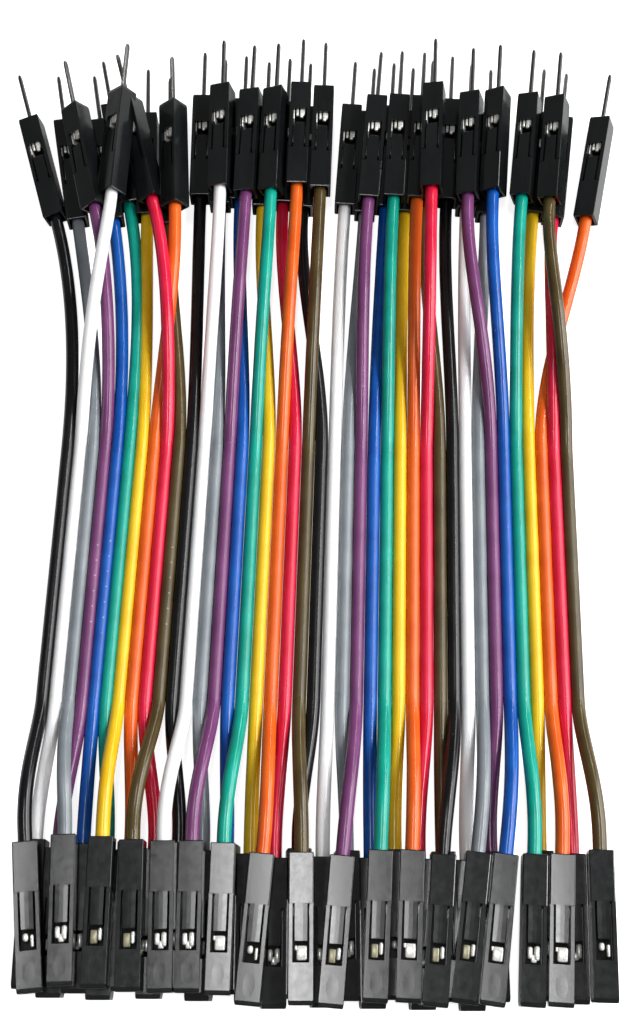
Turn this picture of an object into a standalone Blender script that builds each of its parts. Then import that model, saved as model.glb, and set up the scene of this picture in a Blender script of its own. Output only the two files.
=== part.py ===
"""Forty-way jumper ribbon: forty insulated wires bonded side by side into one flat ribbon, split apart
at both ends, with a crimp housing on every wire end. The housings at the far end hold male pins, and
the housings at the near end are female sockets. The two rows of housings lie in loose layers."""

import math

import bmesh
import bpy
from mathutils import Matrix, Vector

MM = 0.001

# The ribbon: forty wires in ten colours that repeat four times
COLOURS = (
    ("black", (0.012, 0.012, 0.013)),
    ("white", (0.80, 0.81, 0.82)),
    ("grey", (0.21, 0.24, 0.26)),
    ("purple", (0.17, 0.05, 0.15)),
    ("blue", (0.01, 0.06, 0.38)),
    ("green", (0.005, 0.29, 0.20)),
    ("yellow", (0.85, 0.58, 0.03)),
    ("orange", (0.75, 0.12, 0.02)),
    ("red", (0.68, 0.015, 0.06)),
    ("brown", (0.08, 0.06, 0.025)),
)
LEAD_COUNT = 40
WIRE_PITCH = 1.41 * MM
WIRE_DIAMETER = 1.25 * MM
WIRE_ROUGHNESS = 0.35
RIBBON_OFFSET = -0.55 * MM
RIBBON_SLANT = 0.03
RIBBON_HEIGHT = 0.72 * MM
BOND_SOCKET_Y = -21.0 * MM
BOND_PIN_Y = 7.0 * MM
SOCKET_SPLIT_POINTS = 4
PIN_SPLIT_POINTS = 4
WIRE_IN_HOUSING = 3.0 * MM
WIRE_STRAIGHT = 0.8 * MM

# The crimp housing, measured from its wire end towards its front
HOUSING_WIDTH = 2.42 * MM
HOUSING_LENGTH = 14.0 * MM
BORE_WIDTH = 1.90 * MM
BORE_DEPTH = 5.8 * MM
LATCH_START = 4.7 * MM
LATCH_END = 8.3 * MM
WINDOW_END = 10.2 * MM
LATCH_WIDTH = 1.16 * MM
LATCH_SLOT = 0.20 * MM
HOUSING_COLOUR = (0.013, 0.014, 0.015)
HOUSING_ROUGHNESS = 0.42

# The contact in each housing
CONTACT_TOP = 0.62 * MM
PIN_WIDTH = 0.62 * MM
PIN_REACH = 6.4 * MM
PIN_POINT_WIDTH = 0.34 * MM
SOCKET_HOLE = 0.85 * MM
SOCKET_HOLE_DEPTH = 6.5 * MM

# A housing that lies on another sinks this far into it, so that a stack is one body
BITE = 0.04 * MM
OVERSHOOT = 0.5 * MM

# Where each housing lies: lead number from the left, its wire end in x (housing widths) and in y
# (housing lengths), the turn of its front towards the right, the roll that lifts its right side
# (degrees), and its layer in the pile
PIN_END = {
    0: (-12.7686, 2.5714, -16, 10, 0), 1: (-10.0413, 2.5857, 1, 28, 1), 2: (-11.3636, 2.5286, -10, 12, 1),
    3: (-11.3223, 2.6000, -12, 0, 0), 4: (-10.2893, 2.6429, -10, 0, 0), 5: (-9.2603, 2.5857, -8, 0, 0),
    6: (-8.2479, 2.6357, -6, 0, 0), 7: (-7.1901, 2.6286, -2, 24, 1), 8: (-8.4298, 2.6714, -3, 8, 1),
    9: (-7.1694, 2.6071, -4, 0, 0), 10: (-5.8264, 2.7643, 0, 0, 0), 11: (-4.7934, 2.7429, 0, 11, 1),
    12: (-4.8512, 2.6857, 0.5, 0, 0), 13: (-3.5537, 2.6929, 2, 8, 1), 14: (-3.8719, 2.7286, 1, 0, 0),
    15: (-2.3554, 2.7071, 2, 8, 1), 16: (-2.7893, 2.6643, 1.5, 0, 0), 17: (-1.1157, 2.7714, 2, 0, 1),
    18: (-1.8099, 2.7000, 2, 0, 0), 19: (0.0000, 2.7357, 2, 0, 1), 20: (-0.8388, 2.6500, 2.5, 0, 0),
    21: (1.1983, 2.6714, 4, 0, 0), 22: (2.1529, 2.6000, 4, 0, 0), 23: (2.3140, 2.6429, 5, 0, 1),
    24: (3.1570, 2.6571, 4, 0, 0), 25: (3.5124, 2.6500, 4, 0, 1), 26: (4.1198, 2.6071, 4, 0, 0),
    27: (4.6281, 2.6357, 4, 0, 1), 28: (5.2479, 2.6286, 3, 12, 2), 29: (5.1281, 2.6786, 4, 0, 0),
    30: (6.1322, 2.7286, 4, 0, 0), 31: (7.0785, 2.6429, 4, 0, 0), 32: (8.0372, 2.5857, 4, 0, 0),
    33: (7.0661, 2.6643, 4, 9, 1), 34: (8.2645, 2.6929, 5, 14, 1), 35: (9.6281, 2.6500, 7, 0, 1),
    36: (10.2893, 2.6000, 7, 0, 0), 37: (12.8099, 2.5429, 12, 10, 0), 38: (11.2438, 2.5571, 8, 0, 0),
    39: (10.9504, 2.6214, 7, 10, 1),
}
SOCKET_END = {
    0: (-11.9008, -2.5500, 6, -12, 1), 1: (-11.6942, -2.5143, 0, 0, 0), 2: (-10.3306, -2.5000, 2, 0, 1),
    3: (-10.7107, -2.5714, 0, 0, 0), 4: (-9.7273, -2.5429, 0, 0, 0), 5: (-8.7438, -2.5857, 0, 0, 0),
    6: (-8.8017, -2.5143, 0, 0, 1), 7: (-7.7603, -2.5286, 0, 0, 0), 8: (-6.7769, -2.5786, 0, 0, 0),
    9: (-7.5620, -2.5357, 1, 0, 1), 10: (-5.7934, -2.5357, 0, 0, 0), 11: (-6.3223, -2.5429, 1, 0, 1),
    12: (-4.8099, -2.5929, 0, 0, 0), 13: (-5.1653, -2.5429, 0, 0, 1), 14: (-3.8264, -2.5500, 0, 0, 0),
    15: (-3.8843, -2.5571, -1, 0, 1), 16: (-2.8430, -2.6143, 0, 0, 0), 17: (-2.3140, -2.6286, -4, 10, 1),
    18: (-1.8595, -2.6429, 0, 0, 0), 19: (-0.7438, -2.6214, 0, 0, 1), 20: (-0.8760, -2.5786, 0, 0, 0),
    21: (0.1074, -2.6357, 0, 0, 0), 22: (1.0909, -2.5929, 0, 0, 0), 23: (0.9091, -2.6429, -5, 0, 1),
    24: (2.0744, -2.6429, 0, 0, 0), 25: (2.4380, -2.6071, -3, 0, 1), 26: (3.0579, -2.5857, 0, 0, 0),
    27: (3.7190, -2.6071, -3, 0, 1), 28: (4.0413, -2.6500, 0, 0, 0), 29: (5.0248, -2.6000, 0, 0, 0),
    30: (4.9587, -2.6357, -5, 0, 1), 31: (6.0083, -2.6571, 0, 0, 0), 32: (6.3636, -2.6214, -8, 0, 1),
    33: (6.9917, -2.6000, 0, 0, 0), 34: (7.4793, -2.6357, -8, 0, 1), 35: (8.6364, -2.6357, -4, 0, 1),
    36: (9.0083, -2.5929, -2, 0, 0), 37: (9.7521, -2.6357, -4, 0, 1), 38: (10.3306, -2.6143, -2, 0, 0),
    39: (11.2810, -2.6071, -2, 0, 1),
}
# Wires to an upper layer arch over the others by this much a layer, in wire diameters; some wires
# arch more or less
LAYER_LIFT = 0.72
ARCH_EASE = 1.3
PIN_LIFT = {1: 0.8, 2: -0.72, 7: -0.8, 8: 0.96, 15: 0.16, 17: 0.32, 19: 0.4, 33: 0.56, 38: 1.6, 39: 1.44}
SOCKET_LIFT = {2: 0.16, 9: 0.48, 11: 0.4, 13: 0.24}

# Housings that lie against each other form one body
PIN_STACKS = (
    ("pin_connector_01", (0,)),
    ("pin_connectors_02_09", (1, 4, 5, 6, 8)),
    ("pin_connectors_03_04", (2, 3)),
    ("pin_connectors_08_10", (7, 9)),
    ("pin_connectors_11_15", tuple(range(10, 15))),
    ("pin_connectors_16_21", tuple(range(15, 21))),
    ("pin_connectors_22_35", tuple(range(21, 35))),
    ("pin_connectors_36_40", (35, 36, 38, 39)),
    ("pin_connector_38", (37,)),
)
SOCKET_STACKS = (
    ("socket_connectors_01_35", tuple(range(0, 35))),
    ("socket_connectors_36_40", tuple(range(35, 40))),
)


def clear_scene():
    for item in list(bpy.data.objects):
        bpy.data.objects.remove(item, do_unlink=True)


def make_material(name, colour, roughness):
    material = bpy.data.materials.new(name)
    material.use_nodes = True
    shader = material.node_tree.nodes["Principled BSDF"]
    shader.inputs["Base Color"].default_value = (*colour, 1.0)
    shader.inputs["Roughness"].default_value = roughness
    shader.inputs["Metallic"].default_value = 0.0
    return material


def add_object(name, data):
    item = bpy.data.objects.new(name, data)
    bpy.context.scene.collection.objects.link(item)
    return item


def add_block(name, low, high):
    """A box between two opposite corners."""
    mesh = bpy.data.meshes.new(name)
    form = bmesh.new()
    bmesh.ops.create_cube(form, size=1.0)
    size = Vector(high) - Vector(low)
    middle = (Vector(high) + Vector(low)) / 2
    for vertex in form.verts:
        vertex.co = Vector(a * b for a, b in zip(vertex.co, size)) + middle
    form.to_mesh(mesh)
    form.free()
    return add_object(name, mesh)


def add_slab(name, outline, low, high):
    """An upright slab with the given outline, its corners in order."""
    mesh = bpy.data.meshes.new(name)
    form = bmesh.new()
    face = form.faces.new([form.verts.new((x, y, low)) for x, y in outline])
    raised = bmesh.ops.extrude_face_region(form, geom=[face])["geom"]
    bmesh.ops.translate(form, vec=(0, 0, high - low),
                        verts=[item for item in raised if isinstance(item, bmesh.types.BMVert)])
    bmesh.ops.recalc_face_normals(form, faces=form.faces)
    form.to_mesh(mesh)
    form.free()
    return add_object(name, mesh)


def add_square_rod(name, width, start, end, end_width=None):
    """A square rod along +y, centred on the housing's axis, which may narrow at its end."""
    rod = add_block(name, (-width / 2, start, -width / 2), (width / 2, end, width / 2))
    if end_width is not None:
        for vertex in rod.data.vertices:
            if vertex.co.y > (start + end) / 2:
                vertex.co.x *= end_width / width
                vertex.co.z *= end_width / width
    return rod


def combine(target, tools, operation):
    """Cuts the tools from the target, or joins them to it, and removes the tools."""
    for tool in tools:
        tool.hide_render = True
        tool.display_type = "WIRE"
        step = target.modifiers.new(operation.lower(), "BOOLEAN")
        step.operation = operation
        step.solver = "EXACT"
        step.object = tool
    graph = bpy.context.evaluated_depsgraph_get()
    result = bpy.data.meshes.new_from_object(target.evaluated_get(graph))
    target.modifiers.clear()
    target.data = result
    for tool in tools:
        bpy.data.objects.remove(tool, do_unlink=True)


def make_connector(name, has_pin):
    """One crimp housing with its contact, its wire end at the origin and its front towards +y."""
    half = HOUSING_WIDTH / 2
    bore_half = BORE_WIDTH / 2
    housing = add_block(name, (-half, 0, -half), (half, HOUSING_LENGTH, half))
    bore = add_block("bore", (-bore_half, -OVERSHOOT, -bore_half), (bore_half, BORE_DEPTH, bore_half))
    latch_half = LATCH_WIDTH / 2
    slot_half = latch_half + LATCH_SLOT
    window = add_slab("window", [(-slot_half, LATCH_START), (-latch_half, LATCH_START),
                                 (-latch_half, LATCH_END), (latch_half, LATCH_END),
                                 (latch_half, LATCH_START), (slot_half, LATCH_START),
                                 (slot_half, WINDOW_END), (-slot_half, WINDOW_END)],
                      CONTACT_TOP, half + OVERSHOOT)
    combine(housing, [bore, window], "DIFFERENCE")
    if has_pin:
        pin_end = HOUSING_LENGTH + PIN_REACH
        pin = add_square_rod("pin", PIN_WIDTH, HOUSING_LENGTH - OVERSHOOT, pin_end, PIN_POINT_WIDTH)
        combine(housing, [pin], "UNION")
    else:
        hole = add_square_rod("hole", SOCKET_HOLE, HOUSING_LENGTH - SOCKET_HOLE_DEPTH,
                              HOUSING_LENGTH + OVERSHOOT)
        combine(housing, [hole], "DIFFERENCE")
    return housing


def layer_height(roll, layer):
    """Height of a housing's axis: it rests on the table or on the layer below with its lowest corner."""
    reach = HOUSING_WIDTH / 2 * (abs(math.cos(roll)) + abs(math.sin(roll)))
    return layer * (HOUSING_WIDTH - BITE) + reach


def housing_place(row, towards):
    """The wire end's position, the axis towards the front, and the matrix of one housing."""
    x, y, turn, roll, layer = row
    turn, roll = math.radians(turn), math.radians(roll)
    position = Vector((x * HOUSING_WIDTH, y * HOUSING_LENGTH, layer_height(roll, layer)))
    axis = Vector((math.sin(turn), towards * math.cos(turn), 0))
    facing = Matrix.Rotation(0 if towards > 0 else math.pi, 4, "Z")
    matrix = (Matrix.Translation(position) @ Matrix.Rotation(-towards * turn, 4, "Z")
              @ Matrix.Rotation(-roll, 4, "Y") @ facing)
    return position, axis, matrix


def make_stack(name, leads, master, rows, towards, material):
    """The housings of one stack, joined where they lie on each other."""
    copies = []
    for lead in leads:
        mesh = master.data.copy()
        mesh.transform(housing_place(rows[lead], towards)[2])
        copies.append(add_object(f"{name}_{lead}", mesh))
    stack = copies[0]
    stack.name = name
    if len(copies) > 1:
        combine(stack, copies[1:], "UNION")
    stack.data.name = name
    stack.data.materials.clear()
    stack.data.materials.append(material)
    return stack


def ribbon_point(lead, y):
    """Centre of a wire in the bonded part of the ribbon."""
    x = (lead - (LEAD_COUNT - 1) / 2) * WIRE_PITCH + RIBBON_OFFSET + RIBBON_SLANT * y
    return Vector((x, y, RIBBON_HEIGHT))


def blend(start, start_way, end, end_way, share):
    """A point on the smooth curve between two points with given directions."""
    reach = (end - start).length
    s2, s3 = share ** 2, share ** 3
    return ((2 * s3 - 3 * s2 + 1) * start + (s3 - 2 * s2 + share) * reach * start_way
            + (3 * s2 - 2 * s3) * end + (s3 - s2) * reach * end_way)


def split_points(lead, rows, towards, bond_y, count, lift):
    """Centres along one split end, from the end inside the housing to the edge of the bonded part."""
    position, axis, _ = housing_place(rows[lead], towards)
    outside = position - axis * WIRE_STRAIGHT
    bond = ribbon_point(lead, bond_y)
    bond_way = Vector((towards * RIBBON_SLANT, towards, 0)).normalized()
    arch = (lift.get(lead, 0) + LAYER_LIFT * rows[lead][4]) * WIRE_DIAMETER
    points = [position + axis * WIRE_IN_HOUSING, outside]
    for step in range(count, 0, -1):
        share = step / (count + 1)
        point = blend(bond, bond_way, outside, axis, share)
        point.z += arch * math.sin(math.pi * share) ** ARCH_EASE
        points.append(point)
    return points + [bond]


def wire_points(lead):
    """Centres along one wire, from its socket housing to its pin housing."""
    near = split_points(lead, SOCKET_END, -1, BOND_SOCKET_Y, SOCKET_SPLIT_POINTS, SOCKET_LIFT)
    far = split_points(lead, PIN_END, 1, BOND_PIN_Y, PIN_SPLIT_POINTS, PIN_LIFT)
    return near + far[::-1]


def make_wire(name, lead, material):
    curve = bpy.data.curves.new(name, "CURVE")
    curve.dimensions = "3D"
    curve.bevel_depth = WIRE_DIAMETER / 2
    curve.bevel_resolution = 2
    curve.use_fill_caps = True
    points = wire_points(lead)
    line = curve.splines.new("POLY")
    line.points.add(len(points) - 1)
    for point, centre in zip(line.points, points):
        point.co = (*centre, 1.0)
    curve.materials.append(material)
    return add_object(name, curve)


def centre_on_origin():
    """Moves the whole part so that the middle of its footprint is the origin."""
    bpy.context.view_layer.update()
    corners = [item.matrix_world @ Vector(corner) for item in bpy.data.objects for corner in item.bound_box]
    middle = [(min(c[axis] for c in corners) + max(c[axis] for c in corners)) / 2 for axis in range(2)]
    for item in bpy.data.objects:
        item.location.x -= middle[0]
        item.location.y -= middle[1]


def build():
    clear_scene()
    housing_material = make_material("housing_black", HOUSING_COLOUR, HOUSING_ROUGHNESS)
    wire_materials = [make_material(f"wire_{name}", colour, WIRE_ROUGHNESS) for name, colour in COLOURS]
    pin_master = make_connector("pin_master", True)
    socket_master = make_connector("socket_master", False)
    for name, leads in PIN_STACKS:
        make_stack(name, leads, pin_master, PIN_END, 1, housing_material)
    for name, leads in SOCKET_STACKS:
        make_stack(name, leads, socket_master, SOCKET_END, -1, housing_material)
    for master in (pin_master, socket_master):
        bpy.data.objects.remove(master, do_unlink=True)
    for lead in range(LEAD_COUNT):
        colour = lead % len(COLOURS)
        make_wire(f"wire_{lead + 1:02d}_{COLOURS[colour][0]}", lead, wire_materials[colour])
    centre_on_origin()


build()
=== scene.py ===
"""Looks of the forty-way jumper ribbon: forty soft insulated wires bonded into a flat rainbow ribbon and
split apart at both ends, with moulded crimp housings and stamped metal contacts on every wire end."""

import math

import bmesh
import bpy
from mathutils import Matrix, Vector, noise


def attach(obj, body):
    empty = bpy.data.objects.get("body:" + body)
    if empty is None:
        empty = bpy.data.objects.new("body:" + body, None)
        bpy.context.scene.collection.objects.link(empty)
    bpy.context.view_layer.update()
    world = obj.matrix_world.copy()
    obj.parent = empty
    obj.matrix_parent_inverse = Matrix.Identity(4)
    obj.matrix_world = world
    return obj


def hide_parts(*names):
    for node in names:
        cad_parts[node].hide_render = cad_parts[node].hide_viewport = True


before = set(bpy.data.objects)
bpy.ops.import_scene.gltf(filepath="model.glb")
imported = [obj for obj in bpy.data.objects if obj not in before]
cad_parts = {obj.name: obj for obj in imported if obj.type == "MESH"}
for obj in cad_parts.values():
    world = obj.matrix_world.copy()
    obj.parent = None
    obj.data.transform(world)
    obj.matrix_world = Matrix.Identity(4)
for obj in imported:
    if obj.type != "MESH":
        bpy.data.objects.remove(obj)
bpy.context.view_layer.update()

MM = 0.001

# The ribbon's layout, as in the part's source
COLOURS = ("black", "white", "grey", "purple", "blue", "green", "yellow", "orange", "red", "brown")
LEAD_COUNT = 40
WIRE_PITCH = 1.41 * MM
RIBBON_OFFSET = -0.55 * MM
RIBBON_SLANT = 0.03
RIBBON_HEIGHT = 0.72 * MM
BOND_SOCKET_Y = -21.0 * MM
BOND_PIN_Y = 7.0 * MM
WIRE_IN_HOUSING = 3.0 * MM
WIRE_STRAIGHT = 0.8 * MM
SOLID_WIRE_DIAMETER = 1.25 * MM
HOUSING_WIDTH = 2.42 * MM
HOUSING_LENGTH = 14.0 * MM
BITE = 0.04 * MM
PART_SHIFT = Vector((0.6391 * MM, -3.9968 * MM, 0))

# Where each housing lies: lead number from the left, its wire end in x (housing widths) and in y
# (housing lengths), the turn of its front towards the right, the roll that lifts its right side
# (degrees), and its layer in the pile
PIN_END = {
    0: (-12.7686, 2.5714, -16, 10, 0), 1: (-10.0413, 2.5857, 1, 28, 1), 2: (-11.3636, 2.5286, -10, 12, 1),
    3: (-11.3223, 2.6000, -12, 0, 0), 4: (-10.2893, 2.6429, -10, 0, 0), 5: (-9.2603, 2.5857, -8, 0, 0),
    6: (-8.2479, 2.6357, -6, 0, 0), 7: (-7.1901, 2.6286, -2, 24, 1), 8: (-8.4298, 2.6714, -3, 8, 1),
    9: (-7.1694, 2.6071, -4, 0, 0), 10: (-5.8264, 2.7643, 0, 0, 0), 11: (-4.7934, 2.7429, 0, 11, 1),
    12: (-4.8512, 2.6857, 0.5, 0, 0), 13: (-3.5537, 2.6929, 2, 8, 1), 14: (-3.8719, 2.7286, 1, 0, 0),
    15: (-2.3554, 2.7071, 2, 8, 1), 16: (-2.7893, 2.6643, 1.5, 0, 0), 17: (-1.1157, 2.7714, 2, 0, 1),
    18: (-1.8099, 2.7000, 2, 0, 0), 19: (0.0000, 2.7357, 2, 0, 1), 20: (-0.8388, 2.6500, 2.5, 0, 0),
    21: (1.1983, 2.6714, 4, 0, 0), 22: (2.1529, 2.6000, 4, 0, 0), 23: (2.3140, 2.6429, 5, 0, 1),
    24: (3.1570, 2.6571, 4, 0, 0), 25: (3.5124, 2.6500, 4, 0, 1), 26: (4.1198, 2.6071, 4, 0, 0),
    27: (4.6281, 2.6357, 4, 0, 1), 28: (5.2479, 2.6286, 3, 12, 2), 29: (5.1281, 2.6786, 4, 0, 0),
    30: (6.1322, 2.7286, 4, 0, 0), 31: (7.0785, 2.6429, 4, 0, 0), 32: (8.0372, 2.5857, 4, 0, 0),
    33: (7.0661, 2.6643, 4, 9, 1), 34: (8.2645, 2.6929, 5, 14, 1), 35: (9.6281, 2.6500, 7, 0, 1),
    36: (10.2893, 2.6000, 7, 0, 0), 37: (12.8099, 2.5429, 12, 10, 0), 38: (11.2438, 2.5571, 8, 0, 0),
    39: (10.9504, 2.6214, 7, 10, 1),
}
SOCKET_END = {
    0: (-11.9008, -2.5500, 6, -12, 1), 1: (-11.6942, -2.5143, 0, 0, 0), 2: (-10.3306, -2.5000, 2, 0, 1),
    3: (-10.7107, -2.5714, 0, 0, 0), 4: (-9.7273, -2.5429, 0, 0, 0), 5: (-8.7438, -2.5857, 0, 0, 0),
    6: (-8.8017, -2.5143, 0, 0, 1), 7: (-7.7603, -2.5286, 0, 0, 0), 8: (-6.7769, -2.5786, 0, 0, 0),
    9: (-7.5620, -2.5357, 1, 0, 1), 10: (-5.7934, -2.5357, 0, 0, 0), 11: (-6.3223, -2.5429, 1, 0, 1),
    12: (-4.8099, -2.5929, 0, 0, 0), 13: (-5.1653, -2.5429, 0, 0, 1), 14: (-3.8264, -2.5500, 0, 0, 0),
    15: (-3.8843, -2.5571, -1, 0, 1), 16: (-2.8430, -2.6143, 0, 0, 0), 17: (-2.3140, -2.6286, -4, 10, 1),
    18: (-1.8595, -2.6429, 0, 0, 0), 19: (-0.7438, -2.6214, 0, 0, 1), 20: (-0.8760, -2.5786, 0, 0, 0),
    21: (0.1074, -2.6357, 0, 0, 0), 22: (1.0909, -2.5929, 0, 0, 0), 23: (0.9091, -2.6429, -5, 0, 1),
    24: (2.0744, -2.6429, 0, 0, 0), 25: (2.4380, -2.6071, -3, 0, 1), 26: (3.0579, -2.5857, 0, 0, 0),
    27: (3.7190, -2.6071, -3, 0, 1), 28: (4.0413, -2.6500, 0, 0, 0), 29: (5.0248, -2.6000, 0, 0, 0),
    30: (4.9587, -2.6357, -5, 0, 1), 31: (6.0083, -2.6571, 0, 0, 0), 32: (6.3636, -2.6214, -8, 0, 1),
    33: (6.9917, -2.6000, 0, 0, 0), 34: (7.4793, -2.6357, -8, 0, 1), 35: (8.6364, -2.6357, -4, 0, 1),
    36: (9.0083, -2.5929, -2, 0, 0), 37: (9.7521, -2.6357, -4, 0, 1), 38: (10.3306, -2.6143, -2, 0, 0),
    39: (11.2810, -2.6071, -2, 0, 1),
}

# How high a split wire arches, in solid wire diameters: for each layer its housing lies up, and for some
# leads at their pin and socket ends
LAYER_LIFT = 0.72
PIN_LIFT = {
    1: 0.8, 2: 0.05, 3: -0.3, 7: -0.8, 8: 0.96, 15: 0.16, 17: 0.32, 19: 0.4, 33: 0.56, 38: 1.6, 39: 1.44,
}
SOCKET_LIFT = {2: 0.16, 9: 0.48, 11: 0.4, 13: 0.24}
ARCH_EASE = 1.3

# How some housings are seen to lie beside their places in the part: moves to the right, towards the far
# end and up (mm) and a turn (degrees), and rolls (degrees)
PIN_MOVES = {
    1: (0.3, 1.0, 0.7, 1.5), 2: (-0.8, 0.1, -2.4, 0), 3: (1.5, -0.7, 2.5, -1), 4: (0.8, -1.5, 0, 0.5),
    5: (0, 1.6, 0, -3.5), 6: (-0.3, -0.7, 0, 4), 7: (0.7, -0.9, 0, -1), 8: (1.0, -0.3, -0.4, -11),
    9: (-0.2, -1.6, 0, 2),
}
PIN_ROLLS = {
    1: 11, 2: -12, 3: 36, 7: 15, 8: 26, 11: 5, 13: 6, 15: 14, 33: 11, 34: 16, 35: 20, 37: 14, 39: 16,
}
SOCKET_MOVES = {17: (0, 0, 0, -1)}
SOCKET_ROLLS = {
    0: 4.1, 2: -2.4, 6: 0.6, 9: 1.5, 10: 4, 11: 0.2, 12: 5, 13: 0.7, 14: 6, 16: 6, 17: -8.7, 18: -6, 19: 0.4,
    20: -6, 21: -6, 22: -5, 23: 0.4, 24: -4, 25: 0.5, 26: -3, 27: 1.2, 28: -3, 30: -0.3, 32: 0.6, 34: 3.4,
    35: 2.0, 37: 5.8, 38: 2.8, 39: 3.3,
}

# The solids of the part that hold each lead's housings
PIN_NODES = {
    "pin_connector_01": (0,), "pin_connectors_02_09": (1, 4, 5, 6, 8), "pin_connectors_03_04": (2, 3),
    "pin_connectors_08_10": (7, 9), "pin_connectors_11_15": tuple(range(10, 15)),
    "pin_connectors_16_21": tuple(range(15, 21)), "pin_connectors_22_35": tuple(range(21, 35)),
    "pin_connectors_36_40": (35, 36, 38, 39), "pin_connector_38": (37,),
}
SOCKET_NODES = {
    "socket_connectors_01_35": tuple(range(0, 35)), "socket_connectors_36_40": tuple(range(35, 40)),
}

# The wires as they look, with the rings of their meshes, the points of a coarser path worked out along each,
# and how much and over what length their thickness varies
WIRE_RADIUS = 0.70 * MM
WIRE_SIDES = 24
SPLIT_RINGS = 34
BOND_RINGS = 16
PATH_SPLIT_POINTS = 12
PATH_BOND_POINTS = 6
SWELL = 0.012
SWELL_LENGTH = 2.4 * MM

# The ridge left where neighbouring wires were torn apart: how far it stands out, and up to and from what
# share of the radius above and below the middle it has its height and its filled flanks
RIDGE_REACH = 0.035 * MM
RIDGE_HEIGHT = 0.35
RIDGE_FLANK = 0.1

# The web between bonded wires: how far past the bonded part it reaches, how much that varies from wire to
# wire, and the length it fades over; and how the bonded part's duller skin fades in
WEB_REACH = 0.6 * MM
WEB_JITTER = 2.0 * MM
WEB_RAMP = 1.6 * MM
BOND_RAMP = 7 * MM
BOND_AHEAD = 0.4

# Small pale marks in a row along some wires: how far apart, the middle and reach of the row in y, and the
# place round the wire in turns from its right side
MARKED_LEADS = (3, 4, 9)
MARK_STEP = 1.7 * MM
MARK_MIDDLE = -12.5 * MM
MARK_REACH = 6.0 * MM
MARK_TURN = 0.19
MARK_COLOUR = (0.75, 0.70, 0.66)

# How far some wires drift sideways from an even pitch at the far and near ends of the bonded part:
# lead number, shift at the far end, shift at the near end (mm)
DRIFT = ((0, 0, 0), (3, -0.08, -0.15), (6, -0.3, -0.6), (9, -0.42, -0.7), (14, -0.5, -0.6), (20, -0.2, -0.2),
         (25, 0, 0.1), (30, 0.15, 0.3), (34, 0.15, 0.4), (39, 0, 0.35))

# The moulded housing, from its wire end towards its front
CORNER_RADIUS = 0.11 * MM
BORE_WIDTH = 1.86 * MM
BORE_DEPTH = 5.0 * MM
CAVITY_WIDTH = 1.60 * MM
CAVITY_TOP = 0.70 * MM
CAVITY_WALL = 1.2 * MM
BLOCK_END = 4.8 * MM
STEP_DOWN = 0.05 * MM
GROOVE_DEPTH = 0.16 * MM
GROOVE_END = 0.13 * MM
OPENING_WIDTH = 1.64 * MM
OPENING_FLOOR = 0.1 * MM
WINDOW_END = 10.2 * MM
CUTTER_OVER = 0.4 * MM

# The latch tongue, whose top dips towards its end; at each station its place, the depth of its top below
# the housing's, and the share of its full width
TONGUE_END = 8.35 * MM
TONGUE_WIDTH = 1.22 * MM
TONGUE_THICKNESS = 0.42 * MM
TONGUE_CROWN = 0.006 * MM
TONGUE_STATIONS = (
    (BLOCK_END - 0.35 * MM, 0.015 * MM, 1.0), (BLOCK_END + 0.25 * MM, 0.015 * MM, 1.0),
    (BLOCK_END + 1.9 * MM, 0.065 * MM, 0.985), (TONGUE_END - 0.12 * MM, 0.12 * MM, 0.965),
    (TONGUE_END - 0.02 * MM, 0.19 * MM, 0.93), (TONGUE_END, 0.29 * MM, 0.88),
)

# The housing's skin; at each station its place, how far it is drawn in all round, and how far its top is
# stepped down
SKIN_STATIONS = (
    (0, 0.09 * MM, 0), (0.03 * MM, 0.03 * MM, 0), (0.10 * MM, 0, 0), (BLOCK_END - 0.01 * MM, 0, 0),
    (BLOCK_END + 0.03 * MM, 0, STEP_DOWN), (HOUSING_LENGTH - 0.42 * MM, 0, STEP_DOWN),
    (HOUSING_LENGTH - 0.10 * MM, 0.035 * MM, STEP_DOWN), (HOUSING_LENGTH - 0.02 * MM, 0.07 * MM, STEP_DOWN),
    (HOUSING_LENGTH, 0.10 * MM, STEP_DOWN),
)

# The hole in the front of each kind of housing: its width at the mouth and inside, and where its slope
# starts and its cutter ends, both from the front
HOLE_DEPTH = 2 * MM
HOLES = {
    "pin": (0.86 * MM, 0.74 * MM, -0.15 * MM, 0.4 * MM),
    "socket": (1.55 * MM, 0.86 * MM, -0.28 * MM, 0.06 * MM),
}

# Kinds of tin on the contacts, three of them a pale, a dark and a near-black copy of one tin that paint light
# and shade: name, metallic share, light and dull colour, and roughness. The faces of a contact hold a kind's
# place in this list.
TINS = (
    # A pale, half-metallic copy of the tin: tin is pale, and its near-white diffuse colour is also a painted
    # reflection that makes the metal in the windows and the pin tips look lit white
    ("tin_painted_glint", 0.35, (0.90, 0.89, 0.85), (0.74, 0.72, 0.66), 0.26),
    # A dark, fully metallic copy of the tin: painted shade that makes the pins and the pin contact's sides
    # read as dark lines
    ("tin_plate_painted_shade", 1.0, (0.17, 0.17, 0.167), (0.12, 0.117, 0.113), 0.36),
    ("tin_worn_bronze", 0.5, (0.36, 0.34, 0.23), (0.24, 0.22, 0.14), 0.34),
    # A near-black copy of the tin: painted shade on the stamping's base, the pin contact's body and the
    # socket contact's sides
    ("tin_painted_deep_shade", 0.6, (0.035, 0.035, 0.034), (0.020, 0.020, 0.019), 0.60),
)
GLINT_TIN, SHADED_PLATE, BRONZE, DEEP_SHADE_TIN = range(len(TINS))

# The crimps on the insulation and on the bare strands: start, end, radius inside and thickness (mm), half
# the gap on top (degrees), and height against width
CRIMPS = ((1.1, 2.7, 0.72, 0.13, 7, 1.0), (3.3, 5.0, 0.42, 0.15, 6, 0.82))
CRIMP_SIDES = 14

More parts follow.
